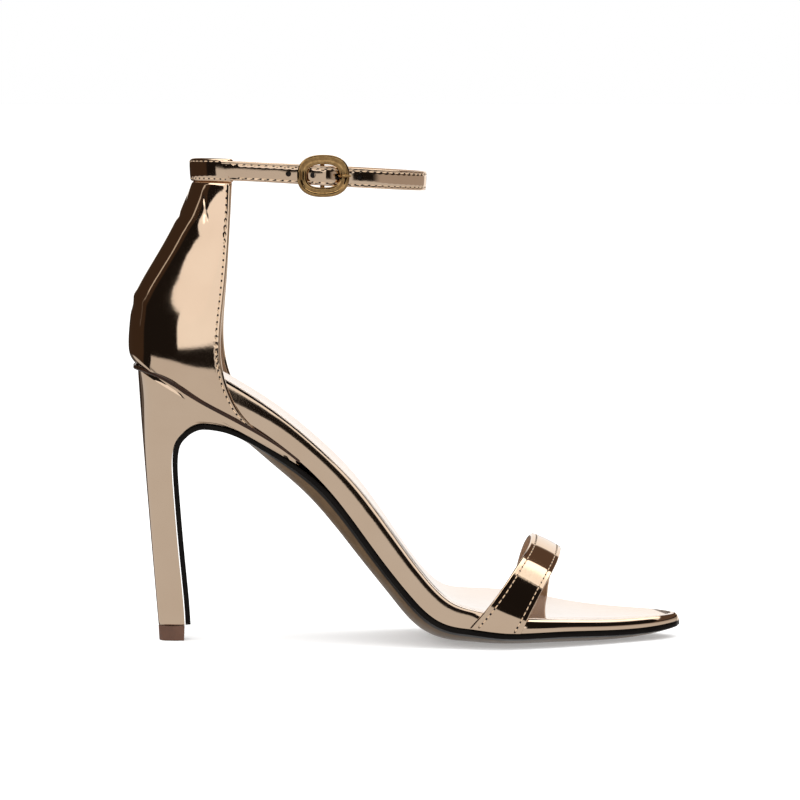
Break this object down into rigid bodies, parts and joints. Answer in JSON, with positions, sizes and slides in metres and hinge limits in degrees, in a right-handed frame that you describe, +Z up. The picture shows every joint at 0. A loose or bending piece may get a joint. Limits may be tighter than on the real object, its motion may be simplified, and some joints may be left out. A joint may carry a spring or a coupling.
{
  "type": "strappy heeled sandal",
  "caption": "Slim high heeled sandal with a hollow heel counter, a buckled ankle strap and a wide toe strap over an arched sole, in mirror rose gold.",
  "frame": {"origin": "on the floor, under the middle of the sandal's box", "axes": "+X to the toe, +Y to the medial side, +Z up; the sandal stands on its top lift and forefoot"},
  "size_m": [0.2024, 0.0768, 0.1778],
  "materials": {
    "mirror_upper": "mirror metallic",
    "mirror_sole": "mirror metallic",
    "footbed": "mirror metallic",
    "sole_leather": "gloss",
    "top_lift": "matte",
    "hardware": "antique polished"
  },
  "bodies": {
    "root": {"ankle_strap": "mirror_upper", "buckle_frame": "hardware", "buckle_prong": "hardware", "heel": "mirror_sole", "heel_counter": "mirror_upper", "insole": "footbed", "midsole": "mirror_sole", "outsole": "sole_leather", "strap_tunnel": "mirror_upper", "toe_strap": "mirror_upper", "top_lift": "top_lift"}
  },
  "joints": []
}
